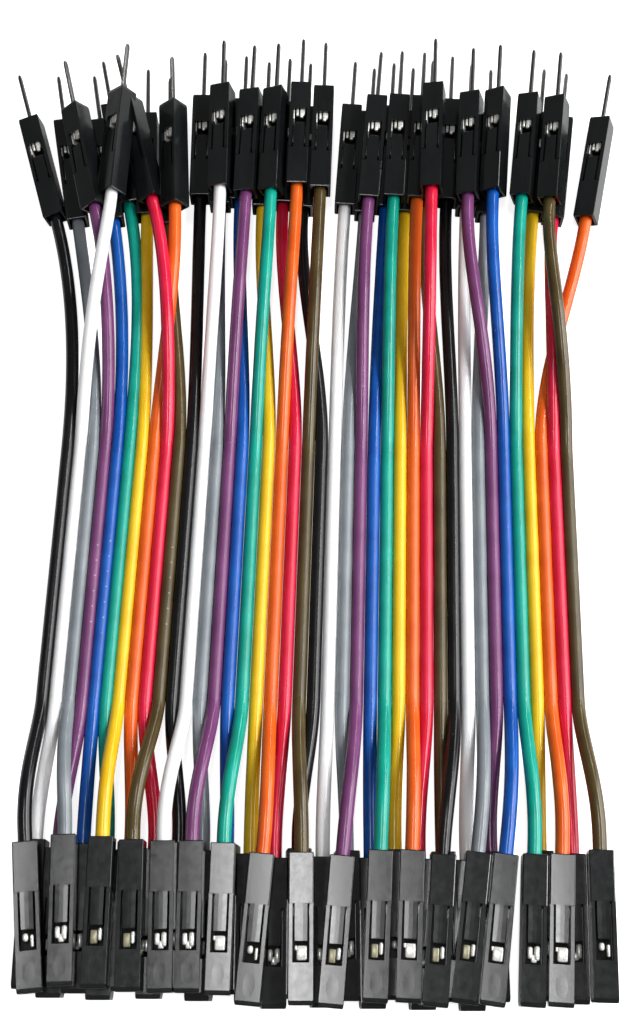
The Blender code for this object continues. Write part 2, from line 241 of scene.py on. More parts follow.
# The stamping's base and its two upright sides beside the tongue, which reach so far to the front and up
# on a pin and on a socket contact
BASE_HALF = 0.74 * MM
BASE_LOW = -0.78 * MM
BASE_HIGH = -0.64 * MM
BASE_SPAN = (2.2 * MM, 12.4 * MM)
SIDE_PLACES = (-0.78 * MM, 0.62 * MM)
SIDE_THICKNESS = 0.16 * MM
SIDE_START = 5.8 * MM
SIDE_LOW = -0.74 * MM
PIN_SIDE_REACH = (8.0 * MM, 0.60 * MM)
SOCKET_SIDE_REACH = (12.0 * MM, -0.50 * MM)
SHEET_ROUND = 0.05 * MM

# The folded metal in the window of a pin contact: how deep its top lies below the housing's, its height,
# and for each fold its left, rear, right and front, the lift of its top and its edge radius (mm), and its
# kind of tin
PIN_METAL_DEPTH = 0.34 * MM
PIN_FOLD_HEIGHT = 0.32 * MM
PIN_FOLDS = (
    (-0.44, 9.40, -0.16, 10.6, -0.04, 0.09, GLINT_TIN), (0.00, 9.15, 0.40, 10.6, 0.03, 0.10, GLINT_TIN),
    (0.26, 9.45, 0.60, 10.6, 0.02, 0.09, GLINT_TIN),
)

# The pin contact's wall at the left of the window, and its body between the window and the pin
WALL_SIDES = (-0.78 * MM, -0.64 * MM)
WALL_SPAN = (9.0 * MM, 10.9 * MM)
WALL_DROP = 0.12 * MM
WALL_ROUND = 0.06 * MM
BODY_HALF = 0.62 * MM
BODY_SPAN = (9.7 * MM, 12.6 * MM)
BODY_HEIGHTS = (-0.5 * MM, 0.20 * MM)
BODY_ROUND = 0.10 * MM

# The folded metal in the window of each style of socket contact, as for the pin contact
SOCKET_METAL_DEPTH = 0.28 * MM
SOCKET_FOLD_LOW = 0.2 * MM
SOCKET_FOLDS = {
    "lobes": ((0.12, 8.60, 0.58, 9.70, -0.04, 0.16, GLINT_TIN), (-0.30, 9.30, 0.26, 10.05, -0.10, 0.14, GLINT_TIN),
              (-0.58, 8.50, -0.06, 9.85, 0.02, 0.20, GLINT_TIN)),
    "block": ((-0.58, 8.65, 0.44, 10.0, 0.02, 0.16, GLINT_TIN), (0.36, 8.65, 0.62, 9.10, 0.0, 0.12, GLINT_TIN)),
    "oval": ((-0.12, 8.70, 0.58, 10.0, -0.14, 0.14, BRONZE), (-0.58, 8.55, -0.16, 9.70, 0.06, 0.20, GLINT_TIN)),
    "drops": ((-0.04, 8.60, 0.50, 9.35, 0.00, 0.22, GLINT_TIN), (0.02, 9.30, 0.36, 10.05, -0.06, 0.16, GLINT_TIN),
              (-0.56, 8.75, -0.24, 9.90, -0.04, 0.15, GLINT_TIN)),
}

# The socket contact's box: half width, span, drop below the folds, edge radius, and its mouth's widths
# outside and inside and its start, the start of its slope and its end
BOX_HALF = 0.76 * MM
BOX_SPAN = (10.5 * MM, 13.3 * MM)
BOX_DROP = 0.42 * MM
BOX_ROUND = 0.13 * MM
BOX_MOUTH = (1.0 * MM, 0.66 * MM, 11.0 * MM, 13.0 * MM, 13.6 * MM)

# Leads whose socket contact isn't in the style lobes
SOCKET_STYLES = {"block": (15, 19, 27, 34, 37), "oval": (6, 9, 23, 25, 30, 32), "drops": (0, 16, 17, 39, 26)}

# The male pin: its cross-section's flat half, full half, shoulder height and half height, how far it
# stands out, and its taper as distance from the tip (mm) and share of the cross-section
PIN_SECTION = (0.13 * MM, 0.235 * MM, 0.09 * MM, 0.27 * MM)
PIN_REACH = 7.0 * MM
PIN_START = 12.0 * MM
PIN_TAPER = ((0.62, 1.0), (0.25, 0.80), (0.08, 0.62), (0, 0.36))

# The bare strands: six round one, twisted
STRAND_COUNT = 7
STRAND_RADIUS = 0.115 * MM
STRAND_REACH = 0.225 * MM
STRAND_TWIST = 0.6
STRAND_SPAN = (2.9 * MM, 5.3 * MM)
STRAND_ROWS = 14
STRAND_SIDES = 8

# Camera
SENSOR_WIDTH = 36.0
LENS = 48.6
CAMERA_ELEVATION = math.radians(70.0)
CAMERA_DISTANCE = 150.74 * MM

# Light: each panel's place, target, width and height (m), and how bright its surface is
PANELS = {
    # Large and low on the right, it lights the right side of every wire and leaves its left side dark
    "panel_right": ((0.47, 0.05, 0.27), (0, 0, 0), 0.36, 0.60, 5.2),
    # Long and narrow, it draws the bright line along the glossy split wires
    "panel_strip": ((0.34, 0.35, 0.44), (0, 0.35, 0), 1.5, 0.035, 23.0),
    # Small and overhead, it shows in the tops of the near housings
    "panel_top": ((-0.027, -0.005, 0.60), (-0.027, -0.005, 0), 0.044, 0.20, 24.0),
}
WORLD_LIGHT = 0.16
FLOOR_GLOW = 0.85
FLOOR_REACH = 1.5
FLOOR_DEPTH = 0.02 * MM


def layer_height(roll, layer):
    reach = HOUSING_WIDTH / 2 * (abs(math.cos(roll)) + abs(math.sin(roll)))
    return layer * (HOUSING_WIDTH - BITE) + reach


def housing_place(row, towards):
    """The wire end's position, the axis towards the front, and the matrix of one housing."""
    x, y, turn, roll, layer = row
    turn, roll = math.radians(turn), math.radians(roll)
    position = Vector((x * HOUSING_WIDTH, y * HOUSING_LENGTH, layer_height(roll, layer)))
    axis = Vector((math.sin(turn), towards * math.cos(turn), 0))
    facing = Matrix.Rotation(0 if towards > 0 else math.pi, 4, "Z")
    matrix = (Matrix.Translation(position + PART_SHIFT) @ Matrix.Rotation(-towards * turn, 4, "Z")
              @ Matrix.Rotation(-roll, 4, "Y") @ facing)
    return position, axis, matrix


def seen_rows(rows, moves, rolls):
    """The layout rows with the seen moves and rolls put in."""
    seen = {}
    for lead, (x, y, turn, roll, layer) in rows.items():
        across, along, up, more_turn = moves.get(lead, (0, 0, 0, 0))
        seen[lead] = (x + across * MM / HOUSING_WIDTH, y + along * MM / HOUSING_LENGTH, turn + more_turn,
                      roll + rolls.get(lead, 0), layer + up * MM / (HOUSING_WIDTH - BITE))
    return seen


PIN_ROWS = seen_rows(PIN_END, PIN_MOVES, PIN_ROLLS)
SOCKET_ROWS = seen_rows(SOCKET_END, SOCKET_MOVES, SOCKET_ROLLS)


def side_drift(lead, y):
    share = (BOND_PIN_Y - y) / (BOND_PIN_Y - BOND_SOCKET_Y)
    for (first, far_1, near_1), (last, far_2, near_2) in zip(DRIFT, DRIFT[1:]):
        if first <= lead <= last:
            part = (lead - first) / (last - first)
            far, near = far_1 + (far_2 - far_1) * part, near_1 + (near_2 - near_1) * part
            return (far + (near - far) * share) * MM
    return 0.0


def ribbon_point(lead, y):
    x = (lead - (LEAD_COUNT - 1) / 2) * WIRE_PITCH + RIBBON_OFFSET + RIBBON_SLANT * y + side_drift(lead, y)
    return Vector((x, y, RIBBON_HEIGHT))


def blend(start, start_way, end, end_way, share):
    """A point on the smooth curve that leaves start along start_way and reaches end along end_way."""
    reach = (end - start).length
    s2, s3 = share ** 2, share ** 3
    return ((2 * s3 - 3 * s2 + 1) * start + (s3 - 2 * s2 + share) * reach * start_way
            + (3 * s2 - 2 * s3) * end + (s3 - s2) * reach * end_way)


def split_points(lead, rows, towards, bond_y, count, lift):
    """Centres along one split end, from the end inside the housing to just before the bonded part."""
    position, axis, _ = housing_place(rows[lead], towards)
    outside = position - axis * WIRE_STRAIGHT
    bond = ribbon_point(lead, bond_y)
    bond_way = Vector((towards * RIBBON_SLANT, towards, 0)).normalized()
    arch = (lift.get(lead, 0) + LAYER_LIFT * rows[lead][4]) * SOLID_WIRE_DIAMETER
    points = [position + axis * WIRE_IN_HOUSING, position + axis * WIRE_IN_HOUSING / 2, position, outside]
    for step in range(count, 0, -1):
        share = step / (count + 1)
        point = blend(bond, bond_way, outside, axis, share)
        point.z += arch * math.sin(math.pi * share) ** ARCH_EASE
        points.append(point)
    return points


def wire_points(lead, split_count, bond_count):
    """Centres along one wire, from its socket housing to its pin housing."""
    near = split_points(lead, SOCKET_ROWS, -1, BOND_SOCKET_Y, split_count, SOCKET_LIFT)
    far = split_points(lead, PIN_ROWS, 1, BOND_PIN_Y, split_count, PIN_LIFT)
    middle = [ribbon_point(lead, BOND_SOCKET_Y + (BOND_PIN_Y - BOND_SOCKET_Y) * step / (bond_count - 1))
              for step in range(bond_count)]
    return [point + PART_SHIFT for point in near + middle + far[::-1]]


# Node materials

# Darker and lighter colour of each insulation, and its roughness and scuffs where split and where bonded
WIRE_LOOKS = {
    "black": ((0.003, 0.003, 0.004), (0.007, 0.007, 0.008)),
    "white": ((0.88, 0.89, 0.91), (0.95, 0.95, 0.96)),
    "grey": ((0.18, 0.205, 0.225), (0.23, 0.255, 0.275)),
    "purple": ((0.14, 0.036, 0.125), (0.18, 0.052, 0.16)),
    "blue": ((0.002, 0.066, 0.34), (0.006, 0.098, 0.43)),
    "green": ((0.001, 0.28, 0.205), (0.005, 0.36, 0.27)),
    "yellow": ((0.78, 0.46, 0.008), (0.86, 0.54, 0.016)),
    "orange": ((0.70, 0.095, 0.007), (0.80, 0.13, 0.014)),
    "red": ((0.60, 0.006, 0.034), (0.70, 0.014, 0.060)),
    "brown": ((0.058, 0.038, 0.011), (0.084, 0.060, 0.020)),
}
SPLIT_ROUGHNESS = 0.19
BONDED_ROUGHNESS = 0.38
BONDED_BLACK_ROUGHNESS = 0.26
SCUFF_STRENGTH = 0.55
BONDED_SCUFF_SHARE = 0.35
WHITE_SCATTER = 0.6
WHITE_SCATTER_REACH = 0.9 * MM
PLASTIC_ROUGHNESS = (0.14, 0.19)
SINK_PLACE = 0.87
SINK_ACROSS = 4.2
SINK_ALONG = 13.0
TIN_UNEVENNESS = 0.06
BUMP_STRENGTH = 0.4


def new_material(name, roughness, specular=0.5, metallic=0.0):
    material = bpy.data.materials.new(name)
    material.use_nodes = True
    tree = material.node_tree
    shader = tree.nodes["Principled BSDF"]
    shader.inputs["Roughness"].default_value = roughness
    shader.inputs["Specular IOR Level"].default_value = specular
    shader.inputs["Metallic"].default_value = metallic
    return material, tree, shader


def add_noise(tree, scale, detail=3.0, roughness=0.55, stretch=(1, 1, 1)):
    """Noise with so many waves per metre; a small second value of stretch draws it out lengthwise."""
    coords = tree.nodes.new("ShaderNodeTexCoord")
    mapping = tree.nodes.new("ShaderNodeMapping")
    mapping.inputs["Scale"].default_value = stretch
    texture = tree.nodes.new("ShaderNodeTexNoise")
    texture.inputs["Scale"].default_value = scale
    texture.inputs["Detail"].default_value = detail
    texture.inputs["Roughness"].default_value = roughness
    tree.links.new(coords.outputs["Object"], mapping.inputs["Vector"])
    tree.links.new(mapping.outputs["Vector"], texture.inputs["Vector"])
    return texture.outputs["Fac"]


def add_range(tree, value, low, high, start, end):
    """The value's range from low to high made into one from start to end, held at both ends."""
    step = tree.nodes.new("ShaderNodeMapRange")
    step.inputs["From Min"].default_value = low
    step.inputs["From Max"].default_value = high
    step.inputs["To Min"].default_value = start
    step.inputs["To Max"].default_value = end
    tree.links.new(value, step.inputs["Value"])
    return step.outputs["Result"]


def add_mix(tree, share, first, second):
    """Mixes two colours; either may be a fixed colour or another node's output."""
    mix = tree.nodes.new("ShaderNodeMix")
    mix.data_type = "RGBA"
    for socket, value in ((mix.inputs["A"], first), (mix.inputs["B"], second)):
        if isinstance(value, tuple):
            socket.default_value = (*value, 1.0)
        else:
            tree.links.new(value, socket)
    tree.links.new(share, mix.inputs["Factor"])
    return mix.outputs["Result"]


def add_math(tree, operation, first, second=0):
    """One sum of one or two values; either may be a number or another node's output."""
    node = tree.nodes.new("ShaderNodeMath")
    node.operation = operation
    for socket, value in zip(node.inputs, (first, second)):
        if isinstance(value, (int, float)):
            socket.default_value = value
        else:
            tree.links.new(value, socket)
    return node.outputs[0]


def add_distance(tree, value, centre):
    return add_math(tree, "ABSOLUTE", add_math(tree, "SUBTRACT", value, centre))


def add_square(tree, value, scale):
    scaled = add_math(tree, "MULTIPLY", value, scale)
    return add_math(tree, "MULTIPLY", scaled, scaled)


def add_bump(tree, shader, heights, distance):
    """A bump from one or more heights, each with its own weight."""
    total = None
    for value, weight in heights:
        scaled = add_math(tree, "MULTIPLY", value, weight)
        total = scaled if total is None else add_math(tree, "ADD", total, scaled)
    bump = tree.nodes.new("ShaderNodeBump")
    bump.inputs["Distance"].default_value = distance
    bump.inputs["Strength"].default_value = BUMP_STRENGTH
    tree.links.new(total, bump.inputs["Height"])
    tree.links.new(bump.outputs["Normal"], shader.inputs["Normal"])


def add_place(tree, layer):
    """The two parts of a UV layer."""
    place = tree.nodes.new("ShaderNodeUVMap")
    place.uv_map = layer
    parts = tree.nodes.new("ShaderNodeSeparateXYZ")
    tree.links.new(place.outputs["UV"], parts.inputs["Vector"])
    return parts.outputs["X"], parts.outputs["Y"]


def add_marks(tree, base):
    """A row of small pale marks along the right of the wire's top."""
    turn, along = add_place(tree, "along")
    phase = add_math(tree, "FRACT", add_math(tree, "MULTIPLY", along, WIRE_RADIUS * math.tau / MARK_STEP))
    aside = add_math(tree, "MULTIPLY", add_distance(tree, turn, MARK_TURN), 1.6)
    reach = add_math(tree, "ADD", add_distance(tree, phase, 0.5), aside)
    place = tree.nodes.new("ShaderNodeTexCoord")
    parts = tree.nodes.new("ShaderNodeSeparateXYZ")
    tree.links.new(place.outputs["Object"], parts.inputs["Vector"])
    away = add_distance(tree, parts.outputs["Y"], MARK_MIDDLE)
    here = add_range(tree, away, MARK_REACH * 0.8, MARK_REACH, 1, 0)
    mark = add_math(tree, "MULTIPLY", add_range(tree, reach, 0.03, 0.07, 0.30, 0), here)
    return add_mix(tree, mark, base, MARK_COLOUR)


def make_wire_material(colour, marked):
    """Soft insulation with drawn lines, dents and pale scuffs; glossy where split, duller where bonded."""
    low, high = WIRE_LOOKS[colour]
    name = f"insulation_{colour}_marked" if marked else f"insulation_{colour}"
    material, tree, shader = new_material(name, 0.30, specular=0.42)
    tone = add_range(tree, add_noise(tree, 260, 2), 0.35, 0.65, 0, 1)
    base = add_mix(tree, tone, low, high)
    pale = tuple(min(1.0, 0.45 * channel + 0.42) for channel in high)
    scuff = add_range(tree, add_noise(tree, 2600, 4, 0.7, (1, 0.35, 1)), 0.70, 0.76, 0, SCUFF_STRENGTH)
    bonded, _ = add_place(tree, "bonded")
    shown = add_math(tree, "MULTIPLY", scuff, add_range(tree, bonded, 0, 1, 1.0, BONDED_SCUFF_SHARE))
    base = add_mix(tree, shown, base, pale)
    if marked:
        base = add_marks(tree, base)
    tree.links.new(base, shader.inputs["Base Color"])
    sheen = add_range(tree, add_noise(tree, 900, 3, 0.6, (1, 0.2, 1)), 0.3, 0.7, -0.04, 0.05)
    dull = BONDED_BLACK_ROUGHNESS if colour == "black" else BONDED_ROUGHNESS
    gloss = add_range(tree, bonded, 0, 1, SPLIT_ROUGHNESS, dull)
    tree.links.new(add_math(tree, "ADD", sheen, gloss), shader.inputs["Roughness"])
    if colour == "white":
        shader.inputs["Subsurface Weight"].default_value = WHITE_SCATTER
        shader.inputs["Subsurface Radius"].default_value = (WHITE_SCATTER_REACH,) * 3
        shader.inputs["Subsurface Scale"].default_value = 1.0
    lines = add_noise(tree, 3800, 2, 0.5, (1, 0.03, 1))
    dents = add_noise(tree, 420, 2, 0.5)
    add_bump(tree, shader, ((lines, 0.08), (dents, 1.0)), 0.06 * MM)
    return material


def make_plastic_material():
    """Moulded black plastic with a fine grain, faint flow marks, a sink mark near the front and pale dust."""
    material, tree, shader = new_material("moulded_black", 0.25, specular=0.55)
    tone = add_range(tree, add_noise(tree, 380, 3, 0.6, (1, 0.4, 1)), 0.35, 0.65, 0, 1)
    base = add_mix(tree, tone, (0.0035, 0.0042, 0.0045), (0.0075, 0.0085, 0.0090))
    dust = add_range(tree, add_noise(tree, 4200, 3, 0.7), 0.71, 0.79, 0, 0.2)
    tree.links.new(add_mix(tree, dust, base, (0.10, 0.105, 0.11)), shader.inputs["Base Color"])
    sheen = add_range(tree, add_noise(tree, 1500, 4, 0.6), 0.3, 0.7, *PLASTIC_ROUGHNESS)
    tree.links.new(sheen, shader.inputs["Roughness"])
    across, along = add_place(tree, "place")
    ahead = add_math(tree, "SUBTRACT", along, SINK_PLACE)
    away = add_math(tree, "ADD", add_square(tree, across, SINK_ACROSS), add_square(tree, ahead, SINK_ALONG))
    sink = add_range(tree, away, 0, 1, 0, 1)
    grain = add_noise(tree, 14000, 3, 0.6)
    flow = add_noise(tree, 700, 2, 0.5, (1, 0.25, 1))
    add_bump(tree, shader, ((grain, 0.018), (flow, 0.08), (sink, 0.16)), 0.04 * MM)
    return material


def make_tin_material(name, metallic, light, dull, roughness):
    """Tin-plated bronze with spots of tarnish, fine lengthwise drawing marks and pits."""
    material, tree, shader = new_material(name, 0.22, metallic=metallic)
    tarnish = add_range(tree, add_noise(tree, 1600, 3, 0.6), 0.45, 0.75, 0, 1)
    tree.links.new(add_mix(tree, tarnish, light, dull), shader.inputs["Base Color"])
    sheen = add_range(tree, add_noise(tree, 2400, 3), 0.3, 0.7, roughness - TIN_UNEVENNESS,
                      roughness + TIN_UNEVENNESS)
    tree.links.new(sheen, shader.inputs["Roughness"])
    marks = add_noise(tree, 9000, 2, 0.5, (1, 0.06, 1))
    pits = add_noise(tree, 3600, 2, 0.5)
    add_bump(tree, shader, ((marks, 0.2), (pits, 0.15)), 0.004 * MM)
    return material


def make_copper_material():
    """Bright twisted copper strands."""
    material, tree, shader = new_material("copper_strand", 0.3, metallic=1.0)
    tone = add_range(tree, add_noise(tree, 3000, 2), 0.4, 0.6, 0, 1)
    tree.links.new(add_mix(tree, tone, (0.72, 0.30, 0.14), (0.86, 0.42, 0.22)), shader.inputs["Base Color"])
    add_bump(tree, shader, ((add_noise(tree, 7000, 2), 1.0),), 0.03 * MM)
    return material


# Mesh helpers

# Steps of a rounded corner, share of an end's rounding at its inner ring, and the sharpest edges that are
# shaded smooth (degrees)
CORNER_STEPS = 3
END_SHARE = 0.3
CONTACT_SMOOTH = 40
STRAND_SMOOTH = 60
WIRE_SMOOTH = 50


def link(name, data):
    item = bpy.data.objects.new(name, data)
    bpy.context.scene.collection.objects.link(item)
    return item


def to_mesh(form, name):
    """The form as a mesh whose faces look outwards; the form itself is freed."""
    bmesh.ops.recalc_face_normals(form, faces=form.faces)
    mesh = bpy.data.meshes.new(name)
    form.to_mesh(mesh)
    form.free()
    return mesh


def smooth_mesh(mesh, angle):
    for polygon in mesh.polygons:
        polygon.use_smooth = True
    mesh.set_sharp_from_angle(angle=math.radians(angle))


def rounded_section(half_x, half_z, radius):
    """Corners of a rounded rectangle in x and z, in order."""
    radius = min(radius, half_x * 0.98, half_z * 0.98)
    points = []
    for corner, (sx, sz) in enumerate(((1, 1), (-1, 1), (-1, -1), (1, -1))):
        for step in range(CORNER_STEPS + 1):
            angle = math.radians(corner * 90 + 90 * step / CORNER_STEPS)
            points.append((sx * (half_x - radius) + radius * math.cos(angle),
                           sz * (half_z - radius) + radius * math.sin(angle)))
    return points


def add_loft(form, sections, kind=0):
    """A closed skin through sections, each (y, corners in x and z), all with as many corners."""
    rings = [[form.verts.new((x, y, z)) for x, z in corners] for y, corners in sections]
    count = len(rings[0])
    faces = []
    for first, second in zip(rings, rings[1:]):
        for i in range(count):
            j = (i + 1) % count
            faces.append(form.faces.new((first[i], first[j], second[j], second[i])))
    faces.append(form.faces.new(rings[0][::-1]))
    faces.append(form.faces.new(rings[-1]))
    for face in faces:
        face.material_index = kind
    return rings


def add_bar(form, low, high, radius, kind=GLINT_TIN):
    """A bar along y with rounded long edges and softened ends."""
    half_x, half_z = (high[0] - low[0]) / 2, (high[2] - low[2]) / 2
    centre_x, centre_z = (high[0] + low[0]) / 2, (high[2] + low[2]) / 2
    soft = radius * END_SHARE
    sections = []
    for y, inset in ((low[1], radius), (low[1] + soft, soft), (low[1] + radius, 0),
                     (high[1] - radius, 0), (high[1] - soft, soft), (high[1], radius)):
        corners = rounded_section(half_x - inset, half_z - inset, radius)
        sections.append((y, [(x + centre_x, z + centre_z) for x, z in corners]))
    add_loft(form, sections, kind)


def cut(mesh, cutters, name):
    """The mesh with the cutter meshes taken away."""
    target = link(name, mesh)
    tools = []
    for number, cutter in enumerate(cutters):
        tool = link(f"{name}_tool_{number}", cutter)
        step = target.modifiers.new(f"cut_{number}", "BOOLEAN")
        step.operation = "DIFFERENCE"
        step.solver = "EXACT"
        step.object = tool
        tools.append(tool)
    graph = bpy.context.evaluated_depsgraph_get()
    result = bpy.data.meshes.new_from_object(target.evaluated_get(graph))
    for item in [target, *tools]:
        bpy.data.objects.remove(item, do_unlink=True)
    return result


def block_cutter(low, high):
    form = bmesh.new()
    bmesh.ops.create_cube(form, size=1.0)
    size, middle = Vector(high) - Vector(low), (Vector(high) + Vector(low)) / 2
    for vertex in form.verts:
        vertex.co = Vector(a * b for a, b in zip(vertex.co, size)) + middle
    return to_mesh(form, "block")


def funnel_cutter(wide, narrow, start, middle, end):
    """A square hole that starts narrow and widens from the middle to the end."""
    form = bmesh.new()
    sections = []
    for y, width in ((start, narrow), (middle, narrow), (end, wide)):
        half = width / 2
        sections.append((y, [(half, half), (-half, half), (-half, -half), (half, -half)]))
    add_loft(form, sections)
    return to_mesh(form, "funnel")


# The moulded housing

def tongue_section(half_x, top):
    """The tongue's cross-section: a top with three facets over upright sides."""
    facet = half_x / 3
    return [(half_x, top - TONGUE_CROWN), (facet, top), (-facet, top), (-half_x, top - TONGUE_CROWN),
            (-half_x, top - TONGUE_THICKNESS), (half_x, top - TONGUE_THICKNESS)]


def make_skin(name):
    """The housing's outside, softened at both ends, with a lower top beyond the block."""
    half = HOUSING_WIDTH / 2
    form = bmesh.new()
    sections = []
    for y, inset, drop in SKIN_STATIONS:
        corners = rounded_section(half - inset, half - inset, CORNER_RADIUS)
        sections.append((y, [(x, min(z, half - drop - inset)) if z > 0 else (x, z) for x, z in corners]))
    add_loft(form, sections)
    return to_mesh(form, name)


def make_housing(name, kind):
    """The skin with its bore, cavity, top opening, step groove and front hole, and the latch tongue."""
    half, cavity, opening = HOUSING_WIDTH / 2, CAVITY_WIDTH / 2, OPENING_WIDTH / 2
    mouth, inside, slope, beyond = HOLES[kind]
    mesh = cut(make_skin(name), [
        funnel_cutter(BORE_WIDTH, BORE_WIDTH, -CUTTER_OVER, BORE_DEPTH / 2, BORE_DEPTH),
        block_cutter((-cavity, BORE_DEPTH - CUTTER_OVER, -cavity),
                     (cavity, HOUSING_LENGTH - CAVITY_WALL, CAVITY_TOP)),
        block_cutter((-opening, BLOCK_END + 0.02 * MM, OPENING_FLOOR),
                     (opening, WINDOW_END, half + CUTTER_OVER)),
        block_cutter((-half - CUTTER_OVER, BLOCK_END + 0.01 * MM, half - GROOVE_DEPTH),
                     (half + CUTTER_OVER, BLOCK_END + GROOVE_END, half + CUTTER_OVER)),
        funnel_cutter(mouth, inside, HOUSING_LENGTH - HOLE_DEPTH, HOUSING_LENGTH + slope,
                      HOUSING_LENGTH + beyond),
    ], name)
    form = bmesh.new()
    form.from_mesh(mesh)
    add_loft(form, [(y, tongue_section(TONGUE_WIDTH / 2 * share, half - depth))
                    for y, depth, share in TONGUE_STATIONS])
    mesh = to_mesh(form, name)
    layer = mesh.uv_layers.new(name="place")
    for loop in mesh.loops:
        spot = mesh.vertices[loop.vertex_index].co
        layer.data[loop.index].uv = (spot.x / HOUSING_WIDTH, spot.y / HOUSING_LENGTH)
    return mesh


# The stamped contacts

def add_crimp(form, start, end, radius, thick, gap, squash):
    """A strip rolled round the wire, its two edges meeting on top."""
    angles = [math.radians(90 + gap + (360 - 2 * gap) * i / CRIMP_SIDES) for i in range(CRIMP_SIDES + 1)]
    inner = [(radius * math.cos(a), radius * squash * math.sin(a)) for a in angles]
    outer = [((radius + thick) * math.cos(a), (radius + thick) * squash * math.sin(a)) for a in angles]
    corners = outer + inner[::-1]
    add_loft(form, [(start, corners), (end, corners)])


def add_folds(form, folds, low, top):
    for left, rear, right, front, lift, radius, kind in folds:
        high = (right * MM, front * MM, top + lift * MM)
        add_bar(form, (left * MM, rear * MM, low), high, radius * MM, kind)


def start_contact(side_reach, side_kind):
    """A form with the crimps, the base of the stamping and its two upright sides."""
    form = bmesh.new()
    for start, end, radius, thick, gap, squash in CRIMPS:
        add_crimp(form, start * MM, end * MM, radius * MM, thick * MM, gap, squash)
    base_start, base_end = BASE_SPAN
    # The base is given the near-black copy of the tin: painted shade
    add_bar(form, (-BASE_HALF, base_start, BASE_LOW), (BASE_HALF, base_end, BASE_HIGH), SHEET_ROUND, DEEP_SHADE_TIN)
    side_end, side_top = side_reach
    for left in SIDE_PLACES:
        add_bar(form, (left, SIDE_START, SIDE_LOW), (left + SIDE_THICKNESS, side_end, side_top), SHEET_ROUND,
                side_kind)
    return form


def pin_section(share):
    """The pin's cross-section: a flat top, steep shoulders and upright sides, scaled by a share."""
    flat, wide, shoulder, tall = (size * share for size in PIN_SECTION)
    return [(flat, tall), (-flat, tall), (-wide, shoulder), (-wide, -shoulder), (-flat, -tall), (flat, -tall),
            (wide, -shoulder), (wide, shoulder)]


def make_pin_contact(name):
    """A contact with a wall and folds in the window, a body in front of them, and the pin."""
    # The upright sides are given the dark copy of the tin: painted shade
    form = start_contact(PIN_SIDE_REACH, SHADED_PLATE)
    top = HOUSING_WIDTH / 2 - PIN_METAL_DEPTH
    (left, right), (rear, front) = WALL_SIDES, WALL_SPAN
    # The wall is given the pale copy of the tin: a painted reflection
    add_bar(form, (left, rear, SIDE_LOW), (right, front, top - WALL_DROP), WALL_ROUND)
    add_folds(form, PIN_FOLDS, top - PIN_FOLD_HEIGHT, top)
    (rear, front), (low, high) = BODY_SPAN, BODY_HEIGHTS
    # The body is given the near-black copy of the tin: painted shade
    add_bar(form, (-BODY_HALF, rear, low), (BODY_HALF, front, high), BODY_ROUND, DEEP_SHADE_TIN)
    tip = HOUSING_LENGTH + PIN_REACH
    stations = [(PIN_START, 1.0)] + [(tip - back * MM, share) for back, share in PIN_TAPER]
    # The pin is given the dark copy of the tin: painted shade
    rings = add_loft(form, [(y, pin_section(share)) for y, share in stations], SHADED_PLATE)
    # The pin's last two rings are given the pale copy of the tin: a painted highlight on its tip
    for vertex in rings[-1] + rings[-2]:
        for face in vertex.link_faces:
            face.material_index = GLINT_TIN
    mesh = to_mesh(form, name)
    smooth_mesh(mesh, CONTACT_SMOOTH)
    return mesh


def make_socket_contact(name, style):
    """A contact with folds in the window and a hollow box behind the housing's hole."""
    # The sides are given the near-black copy of the tin: painted shade
    form = start_contact(SOCKET_SIDE_REACH, DEEP_SHADE_TIN)
    top = HOUSING_WIDTH / 2 - SOCKET_METAL_DEPTH
    box_start, box_end = BOX_SPAN
    add_bar(form, (-BOX_HALF, box_start, SIDE_LOW), (BOX_HALF, box_end, top - BOX_DROP), BOX_ROUND, BRONZE)
    add_folds(form, SOCKET_FOLDS[style], SOCKET_FOLD_LOW, top)
    mesh = to_mesh(form, name)
    mesh = cut(mesh, [funnel_cutter(*BOX_MOUTH)], name)
    smooth_mesh(mesh, CONTACT_SMOOTH)
    return mesh


def make_strands(name):
    """The bare twisted strands between the two crimps."""
    form = bmesh.new()
    start, end = STRAND_SPAN
    for number in range(STRAND_COUNT):
        middle_strand = number == STRAND_COUNT - 1
        rings = []
        for row in range(STRAND_ROWS):
            share = row / (STRAND_ROWS - 1)
            angle = math.tau * (number / (STRAND_COUNT - 1) + share * STRAND_TWIST)
            reach = 0 if middle_strand else STRAND_REACH
            x, z = reach * math.cos(angle), reach * math.sin(angle)
            turns = [math.tau * i / STRAND_SIDES for i in range(STRAND_SIDES)]
            rings.append((start + (end - start) * share,
                          [(x + STRAND_RADIUS * math.cos(turn), z + STRAND_RADIUS * math.sin(turn))
                           for turn in turns]))
        add_loft(form, rings)
    mesh = to_mesh(form, name)
    smooth_mesh(mesh, STRAND_SMOOTH)
    return mesh


# The wires

def ease(share):
    """A share held between 0 and 1, with soft ends."""
    share = max(0.0, min(1.0, share))
    return share * share * (3 - 2 * share)


def web_share(y, lead):
    """How far the bond between this lead and the next one on its right has formed at y: 0 to 1."""
    if lead < 0 or lead > LEAD_COUNT - 2:
        return 0.0
    near = noise.noise(Vector((lead * 1.7, 0.3, 5.0)))
    far = noise.noise(Vector((lead * 2.3, 8.1, 2.0)))
    low = BOND_SOCKET_Y + PART_SHIFT.y - (WEB_REACH + WEB_JITTER * near)
    high = BOND_PIN_Y + PART_SHIFT.y + (WEB_REACH + WEB_JITTER * far)
    return ease(min((y - low) / WEB_RAMP, (high - y) / WEB_RAMP))


def bonded_share(y):
    """How much of the bonded part's duller skin a wire has at y: 0 to 1."""
    low, high = BOND_SOCKET_Y + PART_SHIFT.y, BOND_PIN_Y + PART_SHIFT.y
    return ease(min((y - low) / BOND_RAMP, (high - y) / BOND_RAMP) + BOND_AHEAD)


